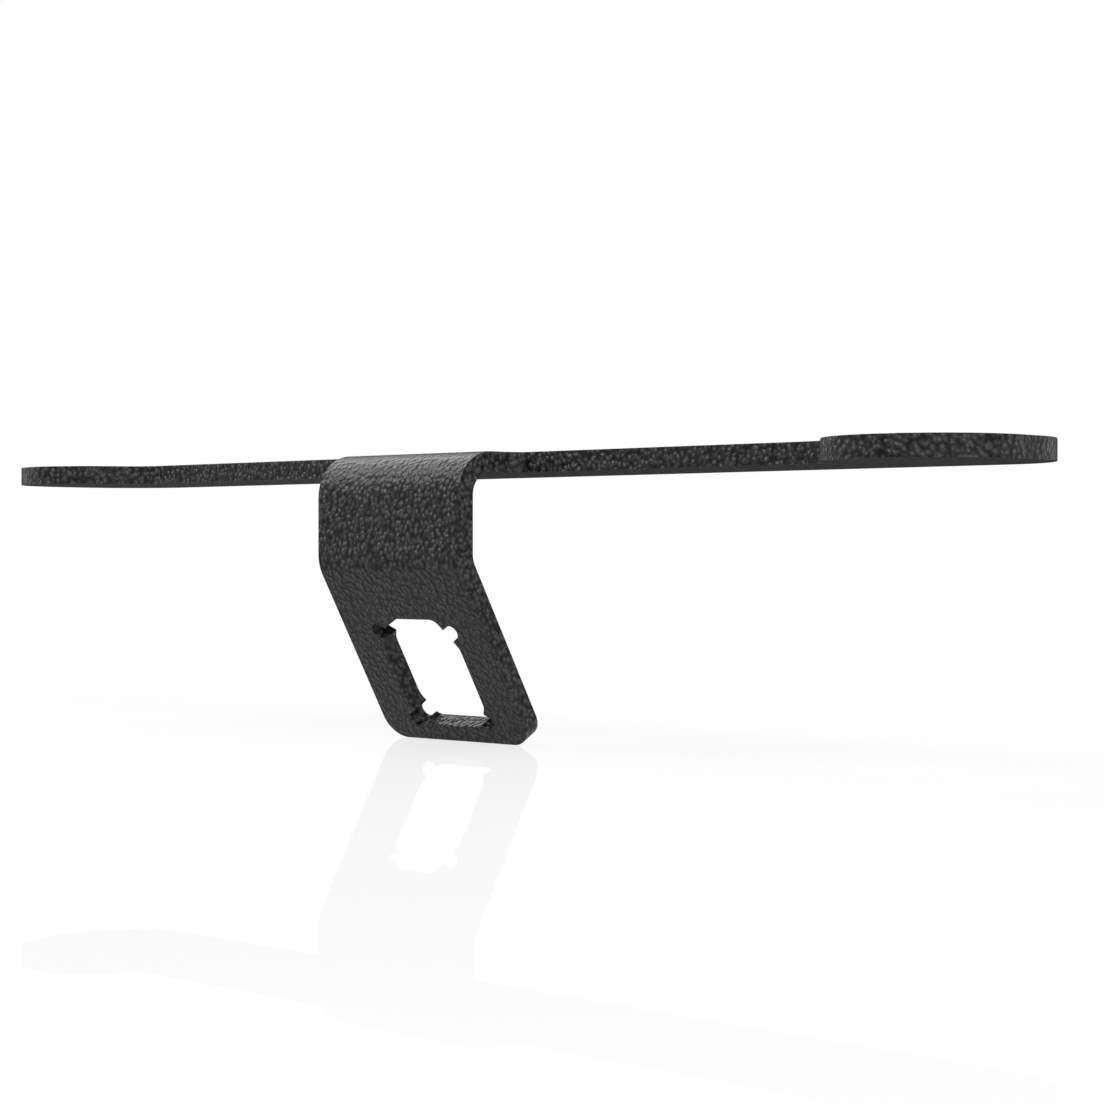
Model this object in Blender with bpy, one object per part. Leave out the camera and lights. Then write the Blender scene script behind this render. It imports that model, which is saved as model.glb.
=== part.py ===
"""Camera relocation bracket: one laser-cut steel plate with a camera tab folded down from its front edge.

Metres, +Z up, +X along the plate, the front of the plate towards -Y.
The origin is on the plate's top face, midway along the plate and across its straight strip.
"""
import math

import bmesh
import bpy
from mathutils import Matrix, Vector

# Sheet
SHEET_THICKNESS = 0.0047625        # 3/16 in steel
INNER_BEND_RADIUS = 0.0056         # both folds are made over the same tool
EDGE_ROUND = 0.00012               # deburred and coated cut edges

# Straight strip and its two end ears
PLATE_LENGTH = 0.3207
STRIP_WIDTH = 0.0327
EAR_WIDTH = 0.0437
EAR_DEPTH = 0.0187                 # how far an ear stands in front of the strip
EAR_FILLET_RADIUS = 0.0104         # between an ear and the strip's front edge
REAR_CORNER_RADIUS = 0.0220

# Tab folded down from the strip's front edge
TAB_WIDTH = 0.0479
TAB_OFFSET = 0.0021                # tab's centre line, to the right of the plate's middle
TAB_ROOT_RADIUS = 0.0040           # relief between the tab's sides and the strip
TAB_REACH = 0.0195                 # from the strip's front edge to the tab's front face
KINK_DROP = 0.0265                 # from the plate's top face down to the second fold
KINK_ANGLE = math.radians(30.0)    # the lower leg leans back under the plate
LOWER_LEG_LENGTH = 0.0492          # front face, from the second fold to the free end
LEG_CORNER_RADIUS = 0.0059

# Camera cutout in the lower leg
CUTOUT_WIDTH = 0.0258
CUTOUT_SIDE_LENGTH = 0.0161        # straight part of each side
CUTOUT_TOP_CORNER = 0.0080         # height of the slanted corners above the sides
CUTOUT_BOTTOM_CORNER = 0.0059      # height of the slanted corners below the sides
CUTOUT_END_MARGIN = 0.0044         # metal left below the cutout
CUTOUT_FILLET_RADIUS = 0.0032
KEY_START = 0.0053                 # the keyed corner's cut starts this far left of the middle
KEY_DROP = 0.0024                  # and meets the slanted corner this far below the top edge
KEY_FILLET_RADIUS = 0.0008

# Snap notches, one in each slanted corner of the cutout
NOTCH_WIDTH = 0.0036
NOTCH_DEPTH = 0.0037
NOTCH_ANGLE = math.radians(30.0)   # notch axis, measured from the cutout's width
NOTCH_FROM_SIDE = 0.0042           # from the end of a side to the notch axis, along the corner

# Finish
COAT_COLOUR = (0.030, 0.030, 0.031, 1.0)
COAT_ROUGHNESS = 0.5

# Resolution of the round stretches
DEGREES_PER_STEP = 7.5
CUTTER_OVERRUN = 0.0050

# Sizes that follow from the ones above
OUTER_BEND_RADIUS = INNER_BEND_RADIUS + SHEET_THICKNESS
FRONT_EDGE = -STRIP_WIDTH / 2
REAR_EDGE = STRIP_WIDTH / 2
TAB_LEFT = TAB_OFFSET - TAB_WIDTH / 2
TAB_RIGHT = TAB_OFFSET + TAB_WIDTH / 2
TAB_FRONT_FACE = FRONT_EDGE - TAB_REACH
BEND_START = TAB_FRONT_FACE + OUTER_BEND_RADIUS
KINK_SETBACK = OUTER_BEND_RADIUS * math.tan(KINK_ANGLE / 2)


def clear_scene():
    """Remove what a new file starts with."""
    for item in list(bpy.data.objects):
        bpy.data.objects.remove(item, do_unlink=True)


def arc_points(centre, radius, start, end):
    """Points along an arc between two angles in radians, both ends included."""
    steps = max(2, math.ceil(abs(end - start) / math.radians(DEGREES_PER_STEP) - 1e-6))
    angles = [start + (end - start) * step / steps for step in range(steps + 1)]
    return [centre + radius * Vector((math.cos(angle), math.sin(angle))) for angle in angles]


def filleted(corners):
    """Round each (point, radius) corner of a closed polygon with an arc tangent to both its sides."""
    points = []
    for index, (corner, radius) in enumerate(corners):
        arriving = (corner - corners[index - 1][0]).normalized()
        leaving = (corners[(index + 1) % len(corners)][0] - corner).normalized()
        turn = math.atan2(arriving.cross(leaving), arriving.dot(leaving))
        first = corner - arriving * radius * math.tan(abs(turn) / 2)
        centre = first + Vector((-arriving.y, arriving.x)) * math.copysign(radius, turn)
        start = math.atan2(first.y - centre.y, first.x - centre.x)
        points += arc_points(centre, radius, start, start + turn)
    return points


def right_ear_outline():
    """Plan outline from the strip's front edge, round the right ear, to the strip's rear edge."""
    end_radius = EAR_WIDTH / 2
    end_centre = Vector((PLATE_LENGTH / 2 - end_radius, FRONT_EDGE - EAR_DEPTH + end_radius))
    fillet_height = FRONT_EDGE - EAR_FILLET_RADIUS
    rise = end_centre.y - fillet_height
    run = math.sqrt((end_radius + EAR_FILLET_RADIUS) ** 2 - rise ** 2)
    fillet_centre = Vector((end_centre.x - run, fillet_height))
    meeting_angle = math.atan2(rise, run)
    rear_radius = min(REAR_CORNER_RADIUS, REAR_EDGE - end_centre.y)
    rear_centre = Vector((PLATE_LENGTH / 2 - rear_radius, REAR_EDGE - rear_radius))
    outline = arc_points(fillet_centre, EAR_FILLET_RADIUS, math.pi / 2, meeting_angle)
    outline += arc_points(end_centre, end_radius, math.pi + meeting_angle, 2 * math.pi)[1:]
    outline += arc_points(rear_centre, rear_radius, 0, math.pi / 2)
    return outline


def plate_outline():
    """Plan outline of the flat plate, counter-clockwise, with the tab's root cut off at the fold."""
    right = right_ear_outline()
    left = [Vector((-point.x, point.y)) for point in reversed(right)]
    root_right = Vector((TAB_RIGHT + TAB_ROOT_RADIUS, FRONT_EDGE - TAB_ROOT_RADIUS))
    root_left = Vector((TAB_LEFT - TAB_ROOT_RADIUS, FRONT_EDGE - TAB_ROOT_RADIUS))
    outline = [Vector((TAB_RIGHT, BEND_START))]
    outline += arc_points(root_right, TAB_ROOT_RADIUS, math.pi, math.pi / 2)
    outline += right + left
    outline += arc_points(root_left, TAB_ROOT_RADIUS, math.pi / 2, 0)
    outline.append(Vector((TAB_LEFT, BEND_START)))
    return outline


def cutout_corners():
    """Corners of the camera cutout and their radii, x across and y up the leg, from the second fold."""
    half_width = CUTOUT_WIDTH / 2
    bottom = CUTOUT_END_MARGIN - LOWER_LEG_LENGTH
    side_bottom = bottom + CUTOUT_BOTTOM_CORNER
    side_top = side_bottom + CUTOUT_SIDE_LENGTH
    top = side_top + CUTOUT_TOP_CORNER
    slant = math.tan(NOTCH_ANGLE)
    bottom_half = half_width - CUTOUT_BOTTOM_CORNER * slant
    top_half = half_width - CUTOUT_TOP_CORNER * slant
    key_end = Vector((-top_half - KEY_DROP * slant, top - KEY_DROP))
    return [
        (Vector((bottom_half, bottom)), CUTOUT_FILLET_RADIUS),
        (Vector((half_width, side_bottom)), CUTOUT_FILLET_RADIUS),
        (Vector((half_width, side_top)), CUTOUT_FILLET_RADIUS),
        (Vector((top_half, top)), CUTOUT_FILLET_RADIUS),
        (Vector((-KEY_START, top)), KEY_FILLET_RADIUS),
        (key_end, KEY_FILLET_RADIUS),
        (Vector((-half_width, side_top)), CUTOUT_FILLET_RADIUS),
        (Vector((-half_width, side_bottom)), CUTOUT_FILLET_RADIUS),
        (Vector((-bottom_half, bottom)), CUTOUT_FILLET_RADIUS),
    ]


def notch_frames():
    """Mouth centre and outward direction of each snap notch, in the cutout's own plane."""
    side_bottom = CUTOUT_END_MARGIN - LOWER_LEG_LENGTH + CUTOUT_BOTTOM_CORNER
    side_ends = ((side_bottom, -1), (side_bottom + CUTOUT_SIDE_LENGTH, 1))
    frames = []
    for side in (-1, 1):
        for side_end, upward in side_ends:
            corner = Vector((side * CUTOUT_WIDTH / 2, side_end))
            along = Vector((-side * math.sin(NOTCH_ANGLE), upward * math.cos(NOTCH_ANGLE)))
            outward = Vector((side * math.cos(NOTCH_ANGLE), upward * math.sin(NOTCH_ANGLE)))
            frames.append((corner + along * NOTCH_FROM_SIDE, outward))
    return frames


def notch_outline(mouth, outward):
    """A slot with a round outer end, running from inside the cutout to the notch's full depth."""
    radius = NOTCH_WIDTH / 2
    across = Vector((-outward.y, outward.x)) * radius
    inner_end = mouth - outward * NOTCH_DEPTH
    heading = math.atan2(outward.y, outward.x)
    tip_centre = mouth + outward * (NOTCH_DEPTH - radius)
    tip = arc_points(tip_centre, radius, heading - math.pi / 2, heading + math.pi / 2)
    return [inner_end - across, *tip, inner_end + across]


def flat_plate(shell):
    """Make the flat plate and return the face where the tab's first fold starts."""
    outline = [shell.verts.new((point.x, point.y, 0)) for point in plate_outline()]
    top = shell.faces.new(outline)
    extruded = bmesh.ops.extrude_face_region(shell, geom=[top], use_keep_orig=True)
    lower_verts = [item for item in extruded["geom"] if isinstance(item, bmesh.types.BMVert)]
    bmesh.ops.translate(shell, vec=(0, 0, -SHEET_THICKNESS), verts=lower_verts)
    bmesh.ops.recalc_face_normals(shell, faces=shell.faces[:])
    first, last = outline[0], outline[-1]
    return next(face for face in first.link_faces if face is not top and last in face.verts)


def carry_on(shell, end_face, move):
    """Extrude the sheet's end face, place the new end with a matrix and return it."""
    extruded = bmesh.ops.extrude_face_region(shell, geom=[end_face])
    new_end = next(item for item in extruded["geom"] if isinstance(item, bmesh.types.BMFace))
    bmesh.ops.delete(shell, geom=[end_face], context="FACES_ONLY")
    bmesh.ops.transform(shell, matrix=move, verts=new_end.verts[:])
    return new_end


def fold(shell, end_face, angle, axis_y, axis_z):
    """Carry the sheet on round a fold whose axis runs along X."""
    steps = math.ceil(angle / math.radians(DEGREES_PER_STEP) - 1e-6)
    axis = Vector((0, axis_y, axis_z))
    turn = Matrix.Translation(axis) @ Matrix.Rotation(angle / steps, 4, "X") @ Matrix.Translation(-axis)
    for _ in range(steps):
        end_face = carry_on(shell, end_face, turn)
    return end_face


def round_free_corners(shell, end_face):
    """Round the two corners at the free end of the lower leg."""
    corner_edges = [edge for edge in end_face.edges if abs(edge.verts[0].co.x - edge.verts[1].co.x) < 1e-6]
    steps = round(math.degrees(math.pi / 2) / DEGREES_PER_STEP)
    bmesh.ops.bevel(shell, geom=corner_edges, offset=LEG_CORNER_RADIUS, offset_type="OFFSET",
                    segments=steps, profile=0.5, affect="EDGES")


def folded_sheet():
    """The plate with its tab folded down, before the cutout."""
    shell = bmesh.new()
    end_face = flat_plate(shell)
    end_face = fold(shell, end_face, math.pi / 2, BEND_START, -OUTER_BEND_RADIUS)
    upper_leg = KINK_DROP - KINK_SETBACK - OUTER_BEND_RADIUS
    end_face = carry_on(shell, end_face, Matrix.Translation((0, 0, -upper_leg)))
    end_face = fold(shell, end_face, KINK_ANGLE, BEND_START, KINK_SETBACK - KINK_DROP)
    lower_leg = Vector((0, math.sin(KINK_ANGLE), -math.cos(KINK_ANGLE))) * (LOWER_LEG_LENGTH - KINK_SETBACK)
    end_face = carry_on(shell, end_face, Matrix.Translation(lower_leg))
    round_free_corners(shell, end_face)
    mesh = bpy.data.meshes.new("folded_bracket")
    shell.to_mesh(mesh)
    shell.free()
    bracket = bpy.data.objects.new("folded_bracket", mesh)
    bpy.context.scene.collection.objects.link(bracket)
    return bracket


def leg_cutter(name, outline):
    """A prism through the lower leg, standing on an outline drawn on the leg's front face."""
    shell = bmesh.new()
    front = [shell.verts.new((point.x, -CUTTER_OVERRUN, point.y)) for point in outline]
    face = shell.faces.new(front)
    extruded = bmesh.ops.extrude_face_region(shell, geom=[face], use_keep_orig=True)
    back_verts = [item for item in extruded["geom"] if isinstance(item, bmesh.types.BMVert)]
    bmesh.ops.translate(shell, vec=(0, SHEET_THICKNESS + 2 * CUTTER_OVERRUN, 0), verts=back_verts)
    bmesh.ops.recalc_face_normals(shell, faces=shell.faces[:])
    mesh = bpy.data.meshes.new(name)
    shell.to_mesh(mesh)
    shell.free()
    cutter = bpy.data.objects.new(name, mesh)
    bpy.context.scene.collection.objects.link(cutter)
    cutter.location = (TAB_OFFSET, TAB_FRONT_FACE, -KINK_DROP)
    cutter.rotation_euler = (KINK_ANGLE, 0, 0)
    cutter.hide_render = True
    cutter.display_type = "WIRE"
    return cutter


def cut(bracket, cutter):
    """Take a cutter's shape out of the bracket."""
    boolean = bracket.modifiers.new(cutter.name, "BOOLEAN")
    boolean.operation = "DIFFERENCE"
    boolean.solver = "EXACT"
    boolean.object = cutter


def round_cut_edges(bracket):
    """Take the sharpness off every cut edge."""
    bevel = bracket.modifiers.new("edge_round", "BEVEL")
    bevel.width = EDGE_ROUND
    bevel.segments = 2
    bevel.limit_method = "ANGLE"
    bevel.angle_limit = math.radians(30)
    bevel.use_clamp_overlap = False


def coat(bracket):
    """Near-black textured powder coat."""
    material = bpy.data.materials.new("textured_black_coat")
    material.use_nodes = True
    shader = material.node_tree.nodes["Principled BSDF"]
    shader.inputs["Base Color"].default_value = COAT_COLOUR
    shader.inputs["Roughness"].default_value = COAT_ROUGHNESS
    shader.inputs["Metallic"].default_value = 0.0
    bracket.data.materials.append(material)
    bracket.data.shade_smooth()
    bracket.data.set_sharp_from_angle(angle=math.radians(30))


def main():
    clear_scene()
    bracket = folded_sheet()
    coat(bracket)
    cut(bracket, leg_cutter("camera_cutout", filleted(cutout_corners())))
    for number, (mouth, outward) in enumerate(notch_frames(), start=1):
        cut(bracket, leg_cutter(f"snap_notch_{number}", notch_outline(mouth, outward)))
    round_cut_edges(bracket)


main()
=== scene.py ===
# %% [markdown]
# # A camera relocation bracket, cut flat and folded
#
# The object is one piece of 3/16 in steel sheet. A laser cuts it out flat, with two rounded ears
# at the ends and a tab at the front, and a press brake then folds the tab down twice. A black
# powder coat with a raised pebble texture covers it all over.
#
# This lesson makes it in the same order as the workshop does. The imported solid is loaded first,
# as a frame that fixes the size and the place of everything that follows.

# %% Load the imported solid
import math

import bmesh
import bpy
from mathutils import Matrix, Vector


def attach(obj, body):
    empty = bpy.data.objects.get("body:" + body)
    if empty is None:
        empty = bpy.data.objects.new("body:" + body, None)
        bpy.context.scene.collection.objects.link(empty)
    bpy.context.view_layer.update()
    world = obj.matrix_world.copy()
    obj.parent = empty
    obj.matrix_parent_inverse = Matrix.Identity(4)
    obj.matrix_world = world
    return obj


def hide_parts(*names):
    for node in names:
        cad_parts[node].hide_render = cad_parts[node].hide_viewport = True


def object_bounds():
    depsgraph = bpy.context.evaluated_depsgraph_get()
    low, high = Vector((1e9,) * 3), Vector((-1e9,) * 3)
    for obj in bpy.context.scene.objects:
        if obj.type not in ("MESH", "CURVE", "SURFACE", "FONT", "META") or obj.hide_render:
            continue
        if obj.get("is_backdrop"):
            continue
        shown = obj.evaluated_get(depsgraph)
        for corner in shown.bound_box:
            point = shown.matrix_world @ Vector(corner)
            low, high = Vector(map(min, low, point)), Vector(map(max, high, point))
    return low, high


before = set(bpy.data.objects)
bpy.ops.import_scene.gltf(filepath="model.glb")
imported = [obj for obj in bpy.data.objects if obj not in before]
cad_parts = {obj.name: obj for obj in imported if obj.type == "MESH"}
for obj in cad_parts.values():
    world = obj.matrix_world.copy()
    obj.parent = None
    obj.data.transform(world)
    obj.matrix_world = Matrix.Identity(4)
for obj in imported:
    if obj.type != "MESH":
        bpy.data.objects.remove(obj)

MM = 1000.0  # millimetres in a metre, for the printed sizes

cad_low, cad_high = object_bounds()
print("solid's size, mm:", [round(MM * side, 1) for side in cad_high - cad_low])

# %% [markdown]
# ## The driving sizes
#
# The solid is made of flat facets, which is what the collision and mass tools need. For the looks
# we make the same sheet again, with finer steps and softly rounded edges, and let it stand for the
# solid. So both share one set of driving sizes, in metres. The sheet's top face lies at Z = 0, its
# long side runs along X, and the tab is at the front, towards -Y.

# %% Sizes of the sheet, the strip, the ears and the tab
SHEET_THICKNESS = 0.0047625
INNER_BEND_RADIUS = 0.0056
EDGE_ROUND = 0.00014

PLATE_LENGTH = 0.3207
STRIP_WIDTH = 0.0327
EAR_WIDTH = 0.0437
EAR_DEPTH = 0.0187
EAR_FILLET_RADIUS = 0.0104
REAR_CORNER_RADIUS = 0.0220

TAB_WIDTH = 0.0479
TAB_OFFSET = 0.0021
TAB_ROOT_RADIUS = 0.0040
TAB_REACH = 0.0195
KINK_DROP = 0.0265
KINK_ANGLE = math.radians(30.0)
LOWER_LEG_LENGTH = 0.0492
LEG_CORNER_RADIUS = 0.0059

OUTER_BEND_RADIUS = INNER_BEND_RADIUS + SHEET_THICKNESS
FRONT_EDGE = -STRIP_WIDTH / 2
REAR_EDGE = STRIP_WIDTH / 2
TAB_LEFT = TAB_OFFSET - TAB_WIDTH / 2
TAB_RIGHT = TAB_OFFSET + TAB_WIDTH / 2
BEND_START = FRONT_EDGE - TAB_REACH + OUTER_BEND_RADIUS
KINK_SETBACK = OUTER_BEND_RADIUS * math.tan(KINK_ANGLE / 2)
print(f"strip {PLATE_LENGTH * MM:.1f} x {STRIP_WIDTH * MM:.1f} mm, tab {TAB_WIDTH * MM:.1f} mm wide")

# %% [markdown]
# ## How long the tab is before it is folded
#
# Bending stretches the outside of a sheet and squeezes its inside, and the layer half way through
# keeps its length. So the flat length of a fold is its angle times the radius of that middle layer.
# We write the tab as four stretches, each with a length and a turn: fold, straight, fold, straight.
# The same list later says where every point of the flat sheet goes, which keeps the flat blank and
# the folded part in step.

# %% The tab's stretches along the middle of the sheet
MIDDLE_RADIUS = INNER_BEND_RADIUS + SHEET_THICKNESS / 2
TOP_FOLD = math.radians(90.0)
STRETCHES = [
    (MIDDLE_RADIUS * TOP_FOLD, TOP_FOLD),
    (KINK_DROP - KINK_SETBACK - OUTER_BEND_RADIUS, 0.0),
    (MIDDLE_RADIUS * KINK_ANGLE, KINK_ANGLE),
    (LOWER_LEG_LENGTH - KINK_SETBACK, 0.0),
]
FLAT_TAB_LENGTH = sum(length for length, turn in STRETCHES)
LOWER_LEG_START = FLAT_TAB_LENGTH - STRETCHES[-1][0]
FOLD_STEP = math.radians(3.0)


def fold_rows():
    """Distances past the start of the first fold where the sheet needs an edge right across it."""
    rows = [0.0]
    for length, turn in STRETCHES[:-1]:
        steps = max(1, round(turn / FOLD_STEP))
        rows += [rows[-1] + length * step / steps for step in range(1, steps + 1)]
    return rows


print(f"flat tab {FLAT_TAB_LENGTH * MM:.1f} mm, {len(fold_rows())} rows across its folds")

# %% [markdown]
# ## Arcs and rounded corners
#
# A laser path is straight lines and arcs. Two helpers are enough for all of it. The first gives
# the points along an arc. The second takes a polygon whose corners each have a radius, and puts
# the arc that touches both sides in place of each corner. Arc steps of 3 degrees look round from
# close by, and cost few points.

# %% Helpers for the outline
ARC_STEP = math.radians(3.0)
ROUNDING_SLACK = 1e-6  # keeps a whole number of steps from being rounded up


def arc(centre, radius, start, end):
    """Points along an arc between two angles, both ends included."""
    steps = max(2, math.ceil(abs(end - start) / ARC_STEP - ROUNDING_SLACK))
    angles = [start + (end - start) * step / steps for step in range(steps + 1)]
    return [centre + radius * Vector((math.cos(angle), math.sin(angle))) for angle in angles]


def round_corners(corners):
    """A closed polygon of (corner, radius) pairs, with an arc at each corner."""
    points = []
    for index, (corner, radius) in enumerate(corners):
        arriving = (corner - corners[index - 1][0]).normalized()
        leaving = (corners[(index + 1) % len(corners)][0] - corner).normalized()
        turn = math.atan2(arriving.cross(leaving), arriving.dot(leaving))
        first = corner - arriving * radius * math.tan(abs(turn) / 2)
        centre = first + Vector((-arriving.y, arriving.x)) * math.copysign(radius, turn)
        start = math.atan2(first.y - centre.y, first.x - centre.x)
        points += arc(centre, radius, start, start + turn)
    return points


# %% [markdown]
# ## The outline of the flat blank
#
# Each ear is a half round that stands in front of the strip, joined to it by a hollow fillet. The
# fillet touches both the strip's front edge and the ear's circle, so its centre follows from
# Pythagoras, and no point of the curve is guessed. The left ear is the right one mirrored. The tab
# leaves the strip between two small relief radii, which keep the sheet from tearing at the fold.
#
# The points run counter-clockwise. The tab's sides also get a point at each fold row.

# %% Draw the blank's outline


def right_ear():
    """From the strip's front edge, round the right ear, to the strip's rear edge."""
    end_radius = EAR_WIDTH / 2
    end_centre = Vector((PLATE_LENGTH / 2 - end_radius, FRONT_EDGE - EAR_DEPTH + end_radius))
    rise = end_centre.y - FRONT_EDGE + EAR_FILLET_RADIUS
    run = math.sqrt((end_radius + EAR_FILLET_RADIUS) ** 2 - rise ** 2)
    fillet_centre = Vector((end_centre.x - run, FRONT_EDGE - EAR_FILLET_RADIUS))
    meeting = math.atan2(rise, run)
    rear_radius = min(REAR_CORNER_RADIUS, REAR_EDGE - end_centre.y)
    rear_centre = Vector((PLATE_LENGTH / 2 - rear_radius, REAR_EDGE - rear_radius))
    points = arc(fillet_centre, EAR_FILLET_RADIUS, math.pi / 2, meeting)
    points += arc(end_centre, end_radius, math.pi + meeting, 2 * math.pi)[1:]
    points += arc(rear_centre, rear_radius, 0, math.pi / 2)
    return points


def tab_end():
    """The tab's free end, from its left corner to its right one."""
    low = BEND_START - FLAT_TAB_LENGTH + LEG_CORNER_RADIUS
    left = Vector((TAB_LEFT + LEG_CORNER_RADIUS, low))
    right = Vector((TAB_RIGHT - LEG_CORNER_RADIUS, low))
    points = arc(left, LEG_CORNER_RADIUS, math.pi, 1.5 * math.pi)
    return points + arc(right, LEG_CORNER_RADIUS, 1.5 * math.pi, 2 * math.pi)


def relief(side, edge):
    """The hollow radius beside the tab's root: side is 1 on the right and -1 on the left."""
    centre = Vector((edge + side * TAB_ROOT_RADIUS, FRONT_EDGE - TAB_ROOT_RADIUS))
    if side > 0:
        return arc(centre, TAB_ROOT_RADIUS, math.pi, math.pi / 2)
    return arc(centre, TAB_ROOT_RADIUS, math.pi / 2, 0)


ear_points = right_ear()
mirrored_ear = [Vector((-point.x, point.y)) for point in reversed(ear_points)]
rows = fold_rows()
right_side = [Vector((TAB_RIGHT, BEND_START - row)) for row in reversed(rows)]
left_side = [Vector((TAB_LEFT, BEND_START - row)) for row in rows]
outline = tab_end() + right_side + relief(1, TAB_RIGHT) + ear_points
outline += mirrored_ear + relief(-1, TAB_LEFT) + left_side
print("points in the blank's outline:", len(outline))

# %% [markdown]
# ## From outline to sheet
#
# One face fills the outline. Where the sheet will fold, that face is split right across, because a
# mesh can only bend where it has edges. Extruding every face downwards by the sheet's thickness then
# gives the cut walls as well. The rows cross the tab only, so the strip and the ears stay plain.
#
# The laser's cutters are made in the same way later on, so the extruding is a helper of its own.

# %% Make the flat sheet


def add_object(name, data):
    """Make an object and put it in the scene."""
    thing = bpy.data.objects.new(name, data)
    bpy.context.scene.collection.objects.link(thing)
    return thing


def thick_object(name, shell, depth):
    """Extrude a flat shell straight down and turn it into an object."""
    extruded = bmesh.ops.extrude_face_region(shell, geom=shell.faces[:], use_keep_orig=True)
    lower = [item for item in extruded["geom"] if isinstance(item, bmesh.types.BMVert)]
    bmesh.ops.translate(shell, vec=(0, 0, -depth), verts=lower)
    bmesh.ops.recalc_face_normals(shell, faces=shell.faces[:])
    mesh = bpy.data.meshes.new(name)
    shell.to_mesh(mesh)
    shell.free()
    return add_object(name, mesh)


def split_between(shell, first, last):
    """Split the face that two vertices share, along the line between them."""
    shared = set(first.link_faces) & set(last.link_faces)
    bmesh.utils.face_split(shared.pop(), first, last)


def flat_sheet():
    """The solid blank, before its camera window is cut."""
    shell = bmesh.new()
    verts = [shell.verts.new((point.x, point.y, 0)) for point in outline]
    shell.faces.new(verts)
    first_right = len(tab_end())
    for number in range(len(rows)):
        split_between(shell, verts[first_right + number], verts[-1 - number])
    return thick_object("coated_bracket", shell, SHEET_THICKNESS)


bracket = flat_sheet()
print("faces in the flat sheet:", len(bracket.data.polygons))

# %% [markdown]
# ## The camera window
#
# A small camera snaps into a window in the lower leg. It has straight sides, slanted corners and
# one keyed corner, which lets the camera in only one way round. A short slot in each slanted corner
# gives the camera's snap hooks room to spring. The window and the slots are drawn as the laser
# would cut them: x across the tab from its centre line, y up the leg from the second fold.

# %% Sizes and outlines of the window and its slots
CUTOUT_WIDTH = 0.0258
CUTOUT_SIDE_LENGTH = 0.0161
CUTOUT_TOP_CORNER = 0.0080
CUTOUT_BOTTOM_CORNER = 0.0059
CUTOUT_END_MARGIN = 0.0044
CUTOUT_FILLET_RADIUS = 0.0032
KEY_START = 0.0053
KEY_DROP = 0.0024
KEY_FILLET_RADIUS = 0.0008

NOTCH_WIDTH = 0.0036
NOTCH_DEPTH = 0.0037
NOTCH_ANGLE = math.radians(30.0)
NOTCH_FROM_SIDE = 0.0042

HALF_WINDOW = CUTOUT_WIDTH / 2
WINDOW_BOTTOM = CUTOUT_END_MARGIN - LOWER_LEG_LENGTH
SIDE_BOTTOM = WINDOW_BOTTOM + CUTOUT_BOTTOM_CORNER
SIDE_TOP = SIDE_BOTTOM + CUTOUT_SIDE_LENGTH
WINDOW_TOP = SIDE_TOP + CUTOUT_TOP_CORNER


def window():
    """The window's corners and their radii, from the lower right one, counter-clockwise."""
    slant = math.tan(NOTCH_ANGLE)
    bottom_half = HALF_WINDOW - CUTOUT_BOTTOM_CORNER * slant
    top_half = HALF_WINDOW - CUTOUT_TOP_CORNER * slant
    key_end = Vector((-top_half - KEY_DROP * slant, WINDOW_TOP - KEY_DROP))
    return round_corners([
        (Vector((bottom_half, WINDOW_BOTTOM)), CUTOUT_FILLET_RADIUS),
        (Vector((HALF_WINDOW, SIDE_BOTTOM)), CUTOUT_FILLET_RADIUS),
        (Vector((HALF_WINDOW, SIDE_TOP)), CUTOUT_FILLET_RADIUS),
        (Vector((top_half, WINDOW_TOP)), CUTOUT_FILLET_RADIUS),
        (Vector((-KEY_START, WINDOW_TOP)), KEY_FILLET_RADIUS),
        (key_end, KEY_FILLET_RADIUS),
        (Vector((-HALF_WINDOW, SIDE_TOP)), CUTOUT_FILLET_RADIUS),
        (Vector((-HALF_WINDOW, SIDE_BOTTOM)), CUTOUT_FILLET_RADIUS),
        (Vector((-bottom_half, WINDOW_BOTTOM)), CUTOUT_FILLET_RADIUS),
    ])


def slot(side, end, upward):
    """A slot with a round end, square to a slanted corner: side and upward are 1 or -1."""
    along = Vector((-side * math.sin(NOTCH_ANGLE), upward * math.cos(NOTCH_ANGLE)))
    outward = Vector((side * math.cos(NOTCH_ANGLE), upward * math.sin(NOTCH_ANGLE)))
    mouth = Vector((side * HALF_WINDOW, end)) + along * NOTCH_FROM_SIDE
    radius = NOTCH_WIDTH / 2
    across = Vector((-outward.y, outward.x)) * radius
    inner_end = mouth - outward * NOTCH_DEPTH
    heading = math.atan2(outward.y, outward.x)
    tip_centre = mouth + outward * (NOTCH_DEPTH - radius)
    tip = arc(tip_centre, radius, heading - math.pi / 2, heading + math.pi / 2)
    return [inner_end - across, *tip, inner_end + across]


cuts = [window()]
cuts += [slot(side, end, way) for side in (-1, 1) for end, way in ((SIDE_BOTTOM, -1), (SIDE_TOP, 1))]
window_height = WINDOW_TOP - WINDOW_BOTTOM
print(f"window {CUTOUT_WIDTH * MM:.1f} x {window_height * MM:.1f} mm, {len(cuts) - 1} slots")

# %% [markdown]
# ## Cutting while the sheet is flat
#
# A cut could be made after folding, with tilted cutters. Cutting first is simpler and is what the
# workshop does: every cutter is an upright prism, and the fold carries the finished window along.
# Each cutter is taken out with an exact Boolean, which copes with cutters that overlap each other.
# The result is read back as a plain mesh, and the cutters are thrown away.

# %% Cut the window and its slots
CUTTER_OVERRUN = 0.0050


def on_the_blank(point):
    """A point drawn from the second fold, moved to its place on the flat blank."""
    past_fold = LOWER_LEG_START - point.y - KINK_SETBACK
    return Vector((point.x + TAB_OFFSET, BEND_START - past_fold))


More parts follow.
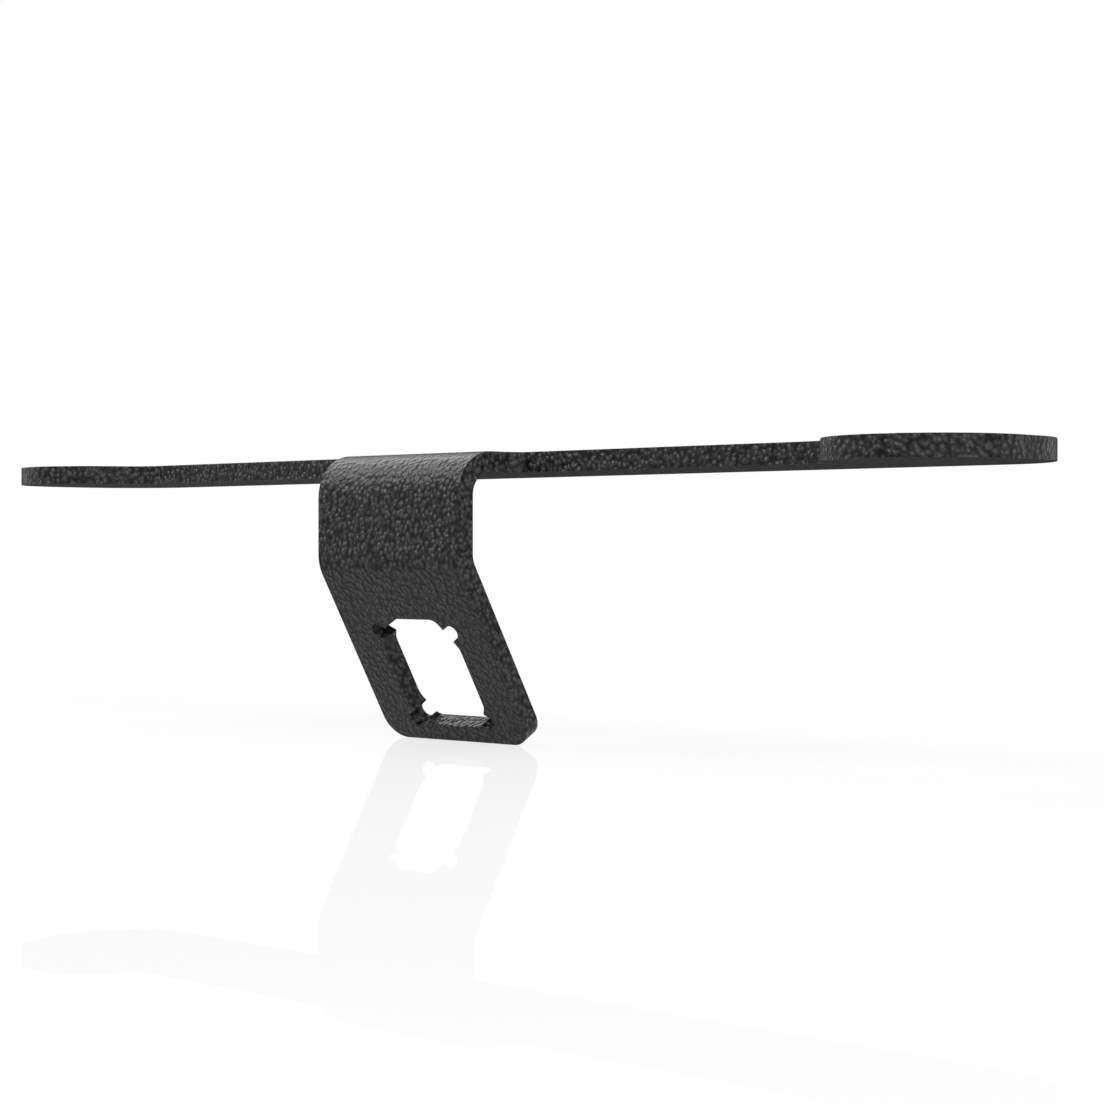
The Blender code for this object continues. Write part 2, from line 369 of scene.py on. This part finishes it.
def cutter(points):
    """An upright prism through the sheet."""
    shell = bmesh.new()
    placed = [on_the_blank(point) for point in points]
    shell.faces.new([shell.verts.new((point.x, point.y, CUTTER_OVERRUN)) for point in placed])
    return thick_object("laser_cut", shell, SHEET_THICKNESS + 2 * CUTTER_OVERRUN)


def settle_modifiers(piece):
    """Replace a piece's mesh by what its modifiers make of it, and drop the modifiers."""
    depsgraph = bpy.context.evaluated_depsgraph_get()
    made = bpy.data.meshes.new_from_object(piece.evaluated_get(depsgraph))
    piece.modifiers.clear()
    piece.data = made


cutters = [cutter(points) for points in cuts]
for prism in cutters:
    boolean = bracket.modifiers.new("laser_cut", "BOOLEAN")
    boolean.operation = "DIFFERENCE"
    boolean.solver = "EXACT"
    boolean.object = prism
settle_modifiers(bracket)
for prism in cutters:
    bpy.data.objects.remove(prism, do_unlink=True)
print("faces after cutting:", len(bracket.data.polygons))

# %% [markdown]
# ## Folding the tab
#
# A Simple Deform modifier can bend a mesh, but it bends all of it at one radius. Here we move each
# point ourselves. We walk along the tab's stretches to the point's distance, turning on the way as
# the press brake does, and then step off the middle layer by the point's own depth in the sheet. So
# the walls stay square to the sheet, and the thickness is the same all the way round the folds.

# %% Fold


def step_along(place, heading, length, turn):
    """Move along the middle layer, in the (y, z) plane, and return the new place and heading."""
    if turn:
        chord = 2 * length / turn * math.sin(turn / 2)
        middle = heading + turn / 2
        return place + chord * Vector((-math.cos(middle), -math.sin(middle))), heading + turn
    return place + length * Vector((-math.cos(heading), -math.sin(heading))), heading


def folded(point):
    """Where a point of the flat blank lies once the tab is folded."""
    left_over = BEND_START - point.y
    if left_over <= 0 or not TAB_LEFT - EDGE_ROUND < point.x < TAB_RIGHT + EDGE_ROUND:
        return point
    place, heading = Vector((BEND_START, -SHEET_THICKNESS / 2)), 0.0
    for length, turn in STRETCHES:
        share = min(1.0, left_over / length)
        place, heading = step_along(place, heading, length * share, turn * share)
        left_over -= length * share
        if left_over <= 0:
            break
    depth = -point.z - SHEET_THICKNESS / 2
    place += depth * Vector((math.sin(heading), -math.cos(heading)))
    return Vector((point.x, place.x, place.y))


for vertex in bracket.data.vertices:
    vertex.co = folded(vertex.co)
bracket.data.update()
lowest = min(vertex.co.z for vertex in bracket.data.vertices)
print(f"the tab's end hangs {-lowest * MM:.1f} mm below the plate's top face")

# %% [markdown]
# ## Taking the sharpness off
#
# No cut edge is sharp: it is deburred before coating, and the powder then rounds it further. A Bevel
# modifier does this, limited by angle so that it finds the cut edges and leaves the folds alone.
# Hardened normals keep the flat faces flat to the light and let only the rounding shade softly.

# %% Round the edges
EDGE_SEGMENTS = 3
SHARP_ANGLE = math.radians(30.0)

bracket.data.shade_smooth()
edge_round = bracket.modifiers.new("edge_round", "BEVEL")
edge_round.width = EDGE_ROUND
edge_round.segments = EDGE_SEGMENTS
edge_round.limit_method = "ANGLE"
edge_round.angle_limit = SHARP_ANGLE
edge_round.use_clamp_overlap = False
edge_round.harden_normals = True
settle_modifiers(bracket)
print("triangles:", sum(len(face.vertices) - 2 for face in bracket.data.polygons))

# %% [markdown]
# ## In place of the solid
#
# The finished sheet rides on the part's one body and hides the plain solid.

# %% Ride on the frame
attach(bracket, "root")
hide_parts("folded_bracket")
piece_low, piece_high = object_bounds()
print("sheet's size, mm:", [round(MM * side, 2) for side in piece_high - piece_low])

# %% [markdown]
# ## The textured powder coat
#
# The powder melts into pebbles of about a millimetre, with valleys between them. The pebbles are
# far too many to model, and the bracket's outline stays smooth, so they are made in the material. A
# 3-D pattern needs no UV map and runs round the folds and over the edges without a seam.
#
# Small helpers come first. They add a node, feed a socket, do one sum, stretch one range of values
# onto another, and mix two colours. That keeps the materials short enough to read.

# %% Helpers for shader nodes


def add_node(tree, kind, **settings):
    """Add a shader node and set its own options."""
    node = tree.nodes.new(kind)
    for name, value in settings.items():
        setattr(node, name, value)
    return node


def plug(tree, source, node, socket):
    """Link an output, or set a plain value, on a node's input."""
    if isinstance(source, bpy.types.NodeSocket):
        tree.links.new(source, node.inputs[socket])
    else:
        node.inputs[socket].default_value = source


def maths(tree, operation, first, second):
    """One Math node."""
    node = add_node(tree, "ShaderNodeMath", operation=operation)
    plug(tree, first, node, 0)
    plug(tree, second, node, 1)
    return node.outputs[0]


def spread(tree, value, low, high, new_low, new_high):
    """Stretch one range of values onto another."""
    node = add_node(tree, "ShaderNodeMapRange")
    for socket, item in zip(("Value", "From Min", "From Max", "To Min", "To Max"),
                            (value, low, high, new_low, new_high)):
        plug(tree, item, node, socket)
    return node.outputs["Result"]


def mix_colours(tree, share, first, second):
    """Mix two colours. The Mix node has its colour sockets at numbers 6 and 7."""
    node = add_node(tree, "ShaderNodeMix", data_type="RGBA")
    for index, source in ((0, share), (6, first), (7, second)):
        plug(tree, source, node, index)
    return node.outputs[2]


# %% [markdown]
# ## One height with three uses
#
# A Voronoi texture gives the distance to the nearest of many scattered points, which makes round
# pebbles. Noise added to that distance makes them ragged and unequal, and a power narrows their
# peaks. This one height drives the bump and the roughness, because the thick powder on a pebble is
# glossier than the thin powder in a valley. It also paints the colour, which on the real coat is an
# even black: a painted shade darkens the valleys and a painted highlight lightens the pebbles.
#
# At a very flat angle the pebbles hide one another and a real coat loses its gloss. A Layer Weight
# node raises the roughness there, which keeps the undersides and the far edges dark.

# %% Sizes and tones of the coat
PEBBLE_SIZE = 0.00122
PEBBLE_HEIGHT = 0.00046
PEBBLE_SMOOTH = 0.25
PEBBLE_CORE = -0.05
PEBBLE_EDGE = 0.95
PEBBLE_PEAK = 2.0
PEBBLE_RAGGED = 0.8
GRAIN_SIZE = 0.0009
GRAIN_DETAIL = 1.0
GRAIN_MIDDLE = 0.5
# Painted light: the valley colour is painted shade and the pebble colour is a painted highlight.
VALLEY_PAINTED_SHADE = (0.005, 0.005, 0.0051, 1.0)
PEBBLE_PAINTED_HIGHLIGHT = (0.130, 0.130, 0.1305, 1.0)
VALLEY_ROUGHNESS = 0.33
PEBBLE_ROUGHNESS = 0.27
COAT_SHINE = 0.115
FLAT_VIEW_BLEND = 0.5
MATT_FROM = 0.70
MATT_GAIN = 0.60
print(f"pebbles about {PEBBLE_SIZE * MM:.2f} mm apart, grain {GRAIN_SIZE * MM:.2f} mm")

# %% Make the coat


def pebbles(tree, place):
    """The height of the coat, from 0 in a valley to 1 on a pebble."""
    cells = add_node(tree, "ShaderNodeTexVoronoi", feature="SMOOTH_F1")
    plug(tree, place, cells, "Vector")
    plug(tree, 1.0 / PEBBLE_SIZE, cells, "Scale")
    plug(tree, PEBBLE_SMOOTH, cells, "Smoothness")
    grain = add_node(tree, "ShaderNodeTexNoise")
    plug(tree, place, grain, "Vector")
    plug(tree, 1.0 / GRAIN_SIZE, grain, "Scale")
    plug(tree, GRAIN_DETAIL, grain, "Detail")
    either_way = maths(tree, "SUBTRACT", grain.outputs["Fac"], GRAIN_MIDDLE)
    ragged = maths(tree, "MULTIPLY", either_way, PEBBLE_RAGGED)
    edge = maths(tree, "ADD", cells.outputs["Distance"], ragged)
    cone = spread(tree, edge, PEBBLE_CORE, PEBBLE_EDGE, 1.0, 0.0)
    return maths(tree, "POWER", cone, PEBBLE_PEAK)


def coat_roughness(tree, height):
    """Glossy from in front, matt at a flat angle."""
    rough = spread(tree, height, 0.0, 1.0, VALLEY_ROUGHNESS, PEBBLE_ROUGHNESS)
    aslant = add_node(tree, "ShaderNodeLayerWeight")
    plug(tree, FLAT_VIEW_BLEND, aslant, "Blend")
    matt = spread(tree, aslant.outputs["Facing"], MATT_FROM, 1.0, 0.0, 1.0)
    return maths(tree, "ADD", rough, maths(tree, "MULTIPLY", matt, MATT_GAIN))


def textured_coat():
    """Near-black powder coat, with painted shade in its valleys and painted highlights on its
    pebbles.
    """
    material = bpy.data.materials.new("textured_black_coat")
    material.use_nodes = True
    tree = material.node_tree
    shader = tree.nodes["Principled BSDF"]
    place = add_node(tree, "ShaderNodeTexCoord").outputs["Object"]
    height = pebbles(tree, place)
    # The colour is painted light, from painted shade in the valleys to painted highlights on the
    # pebbles.
    painted_pebble_light = mix_colours(tree, height, VALLEY_PAINTED_SHADE, PEBBLE_PAINTED_HIGHLIGHT)
    plug(tree, painted_pebble_light, shader, "Base Color")
    plug(tree, coat_roughness(tree, height), shader, "Roughness")
    bump = add_node(tree, "ShaderNodeBump")
    plug(tree, height, bump, "Height")
    plug(tree, PEBBLE_HEIGHT, bump, "Distance")
    plug(tree, bump.outputs["Normal"], shader, "Normal")
    shader.inputs["Specular IOR Level"].default_value = COAT_SHINE
    return material


bracket.data.materials.clear()
bracket.data.materials.append(textured_coat())
print("coat nodes:", len(bracket.data.materials[0].node_tree.nodes))

# %% [markdown]
# ## The floor
#
# The bracket stands on the lower end of its tab, on a polished white floor. The floor shows a faint,
# sharp mirror image that fades with the distance from where the metal stands, so a mirror is mixed
# in by a share that follows a short curve of distance.
#
# A diffuse white takes the soft shadow. Most of the white that the camera sees is a plain glow over
# it, so that the shadow stays as faint as in the picture. All other rays see a darker floor, which
# throws little light up at the bracket.
#
# The coat needed one shader, and the floor needs three. So the first cell below has helpers for
# greys and for whole shaders, and one that tells the rays apart. The world uses them later too.

# %% Helpers for greys, shaders and rays


def grey(level):
    """A plain grey, from black at 0 to white at 1."""
    return (level, level, level, 1.0)


def shader_node(tree, kind, **inputs):
    """Add a shader and fill its inputs, which are given by name."""
    node = add_node(tree, kind)
    for socket, source in inputs.items():
        plug(tree, source, node, socket)
    return node.outputs[0]


def mix_shaders(tree, share, first, second):
    """Mix two shaders."""
    node = add_node(tree, "ShaderNodeMixShader")
    for index, source in enumerate((share, first, second)):
        plug(tree, source, node, index)
    return node.outputs[0]


def looked_at(tree):
    """1 for the rays that see the background, and 0 for the rays that only carry light."""
    path = add_node(tree, "ShaderNodeLightPath")
    seen = maths(tree, "MAXIMUM", path.outputs["Is Camera Ray"], path.outputs["Is Glossy Ray"])
    return maths(tree, "MAXIMUM", seen, path.outputs["Is Transmission Ray"])


WHITE = grey(1.0)

# %% The mirror that fades outwards
LEG_END = FRONT_EDGE - TAB_REACH + LOWER_LEG_LENGTH * math.sin(KINK_ANGLE)
CONTACT = Vector((TAB_OFFSET, LEG_END, piece_low.z))
SHINE_REACH = 0.50
# How far out, as a share of the reach, and the mirror's share there.
SHINE_STOPS = ((0.0, 0.16), (0.12, 0.105), (0.36, 0.070), (0.60, 0.050), (0.76, 0.018), (1.0, 0.0))


def mirror_share(tree):
    """How much of the floor is mirror, by the distance from where the metal stands."""
    away = add_node(tree, "ShaderNodeVectorMath", operation="DISTANCE")
    plug(tree, add_node(tree, "ShaderNodeNewGeometry").outputs["Position"], away, 0)
    plug(tree, CONTACT, away, 1)
    ramp = add_node(tree, "ShaderNodeValToRGB")
    stops = ramp.color_ramp.elements
    while len(stops) < len(SHINE_STOPS):
        stops.new(1.0)
    for stop, (distance, share) in zip(stops, SHINE_STOPS):
        stop.position = distance
        stop.color = grey(share)
    plug(tree, maths(tree, "DIVIDE", away.outputs["Value"], SHINE_REACH), ramp, "Fac")
    return ramp.outputs["Color"]


print(f"the mirror fades out {SHINE_REACH * MM:.0f} mm from", [round(side, 3) for side in CONTACT])

# %% Lay the floor
FLOOR_SIDE = 60.0
FLOOR_WHITE = 0.96
FLOOR_BOUNCE = 0.20
FLOOR_GLOW = 0.88


def floor_finish():
    """White floor with a shine that fades outwards."""
    material = bpy.data.materials.new("polished_white_floor")
    material.use_nodes = True
    tree = material.node_tree
    tree.nodes.remove(tree.nodes["Principled BSDF"])
    seen = looked_at(tree)
    colour = mix_colours(tree, seen, grey(FLOOR_BOUNCE), grey(FLOOR_WHITE))
    lit = shader_node(tree, "ShaderNodeBsdfDiffuse", Color=colour)
    glow = shader_node(tree, "ShaderNodeEmission", Color=WHITE, Strength=1.0)
    mirror = shader_node(tree, "ShaderNodeBsdfGlossy", Color=WHITE, Roughness=0.0)
    white = mix_shaders(tree, maths(tree, "MULTIPLY", seen, FLOOR_GLOW), lit, glow)
    finish = mix_shaders(tree, mirror_share(tree), white, mirror)
    plug(tree, finish, tree.nodes["Material Output"], "Surface")
    return material


def lay_floor():
    """A large flat square at the height of the bracket's lowest point."""
    mesh = bpy.data.meshes.new("floor")
    half = FLOOR_SIDE / 2
    corners = [(-half, -half), (half, -half), (half, half), (-half, half)]
    mesh.from_pydata([(x, y, CONTACT.z) for x, y in corners], [], [(0, 1, 2, 3)])
    mesh.materials.append(floor_finish())
    return add_object("floor", mesh)


lay_floor()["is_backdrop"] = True
print(f"floor at Z = {CONTACT.z * MM:.2f} mm")

# %% [markdown]
# ## Light
#
# A black part shows its shape by what its gloss mirrors, so pictures of one are lit by large soft
# boxes. A Sun lamp with a wide angle stands in for such a box, and it lights the whole floor evenly.
# Two boxes hang on the left: the key box gives the fold its bright front, and the back box lights
# the fold's crown and the window's lower wall. The right and front boxes light the cut edges and
# the leg. The world adds a little fill. What the camera, the gloss and clear materials see of it is
# plain white, and other rays get the dim fill.

# %% Hang the lamps and set the world
# Name, the side it hangs on, power, and width in degrees.
SOFTBOXES = (
    ("key_softbox", Vector((-0.68, -0.34, 0.65)), 1.65, 28.0),
    ("back_softbox", Vector((-0.68, 0.32, 0.66)), 1.0, 44.0),
    ("right_softbox", Vector((0.84, -0.26, 0.48)), 1.6, 60.0),
    ("front_softbox", Vector((0.60, -0.62, 0.50)), 0.75, 60.0),
)
FILL = 0.12


def soft_light(name, side, power, angle):
    """A wide soft lamp that shines from one side, given as a direction."""
    lamp = bpy.data.lights.new(name, "SUN")
    lamp.energy = power
    lamp.angle = math.radians(angle)
    add_object(name, lamp).rotation_euler = side.to_track_quat("Z", "Y").to_euler()


def white_world():
    """White where it is seen, dimmer where it lights."""
    world = bpy.data.worlds.new("white_studio")
    world.use_nodes = True
    tree = world.node_tree
    tree.nodes.remove(tree.nodes["Background"])
    fill = shader_node(tree, "ShaderNodeBackground", Color=WHITE, Strength=FILL)
    plain = shader_node(tree, "ShaderNodeBackground", Color=WHITE, Strength=1.0)
    both = mix_shaders(tree, looked_at(tree), fill, plain)
    plug(tree, both, tree.nodes["World Output"], "Surface")
    bpy.context.scene.world = world


for softbox in SOFTBOXES:
    soft_light(*softbox)
white_world()
print("softboxes hung:", len(SOFTBOXES), "fill:", FILL)

# %% [markdown]
# ## The camera
#
# The picture was taken from low down, level, to the right of the bracket's front. Its place was
# solved from the outline and from the mirror image in the floor, together with the sizes above.
# The lens is a long one, and the tiny shift puts the horizon where the picture has it.

# %% Set up the camera
CAMERA_PLACE = Vector((0.4203, -0.42925, -0.0230))
CAMERA_HEADING = Vector((-0.6803, 0.7329, 0.0))
LENS = 79.63
SENSOR_WIDTH = 36.0
HORIZON_SHIFT = -0.00122
NEAR_CLIP = 0.01

camera = bpy.data.cameras.new("studio_camera")
camera.lens = LENS
camera.sensor_width = SENSOR_WIDTH
camera.shift_y = HORIZON_SHIFT
camera.clip_start = NEAR_CLIP
viewer = add_object("studio_camera", camera)
viewer.location = CAMERA_PLACE
viewer.rotation_euler = CAMERA_HEADING.to_track_quat("-Z", "Y").to_euler()
bpy.context.scene.camera = viewer
bpy.context.scene.view_settings.view_transform = "Standard"
print("camera at", [round(value, 3) for value in CAMERA_PLACE])

# %% [markdown]
# ## Sizes kept, and the end
#
# The sheet is made to fill the same box as the solid and never pass it. The gap between the two
# boxes on each side is printed.

# %% Write the sizes and finish
seen_low, seen_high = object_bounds()
gaps = (*(seen_low - cad_low), *(cad_high - seen_high))
print("inside the solid's box by, mm:", [round(MM * gap, 3) for gap in gaps])
